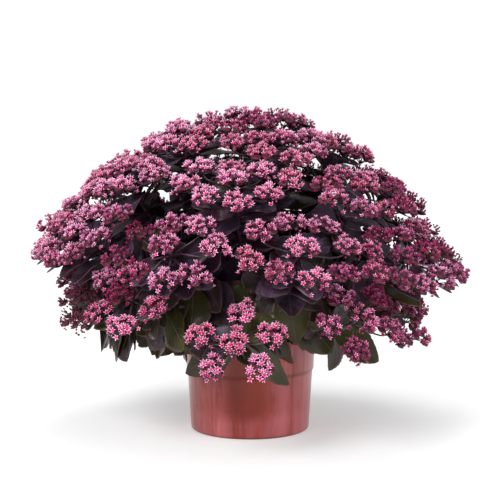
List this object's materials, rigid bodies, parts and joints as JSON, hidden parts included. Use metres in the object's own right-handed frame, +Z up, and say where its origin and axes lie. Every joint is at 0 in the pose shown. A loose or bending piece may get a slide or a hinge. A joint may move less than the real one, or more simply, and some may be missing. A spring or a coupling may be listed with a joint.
{
  "type": "potted sedum",
  "caption": "Bushy purple-leaved sedum in flower, with flat star-floret heads on forked leafy stems, growing in a round glazed pot that stands on its flat base.",
  "frame": {"origin": "centre of the underside of the pot's base, where it meets the surface it stands on", "axes": "+Z up along the pot's axis, -Y towards the front of the picture, +X to the right seen from the front"},
  "size_m": [0.6552, 0.6517, 0.4841],
  "materials": {
    "pot_glaze": "terracotta-red gloss glaze",
    "compost": "dark crumbly compost, matt",
    "stem_and_leaf": "fleshy purple-black leaf with a waxy bloom",
    "bloom": "rose-pink star florets, satin"
  },
  "bodies": {
    "root": {"pot": "pot_glaze", "soil": "compost", "stem_01": "stem_and_leaf", "stem_02": "stem_and_leaf", "stem_03": "stem_and_leaf", "stem_04": "stem_and_leaf", "stem_05": "stem_and_leaf", "stem_06": "stem_and_leaf", "stem_07": "stem_and_leaf", "stem_08": "stem_and_leaf", "stem_09": "stem_and_leaf", "stem_10": "stem_and_leaf", "stem_11": "stem_and_leaf", "stem_12": "stem_and_leaf", "stem_13": "stem_and_leaf", "stem_14": "stem_and_leaf", "stem_15": "stem_and_leaf", "stem_16": "stem_and_leaf", "stem_17": "stem_and_leaf", "stem_18": "stem_and_leaf", "head_01": "bloom", "head_02": "bloom", "head_03": "bloom", "head_04": "bloom", "head_05": "bloom", "head_06": "bloom", "head_07": "bloom", "head_08": "bloom", "head_09": "bloom", "head_10": "bloom", "head_11": "bloom", "head_12": "bloom", "head_13": "bloom", "head_14": "bloom", "head_15": "bloom", "head_16": "bloom", "head_17": "bloom", "head_18": "bloom", "head_19": "bloom", "head_20": "bloom", "head_21": "bloom", "head_22": "bloom", "head_23": "bloom", "head_24": "bloom", "head_25": "bloom", "head_26": "bloom", "head_27": "bloom", "head_28": "bloom", "head_29": "bloom", "head_30": "bloom", "head_31": "bloom", "head_32": "bloom", "head_33": "bloom", "head_34": "bloom", "head_35": "bloom", "head_36": "bloom"}
  },
  "joints": []
}
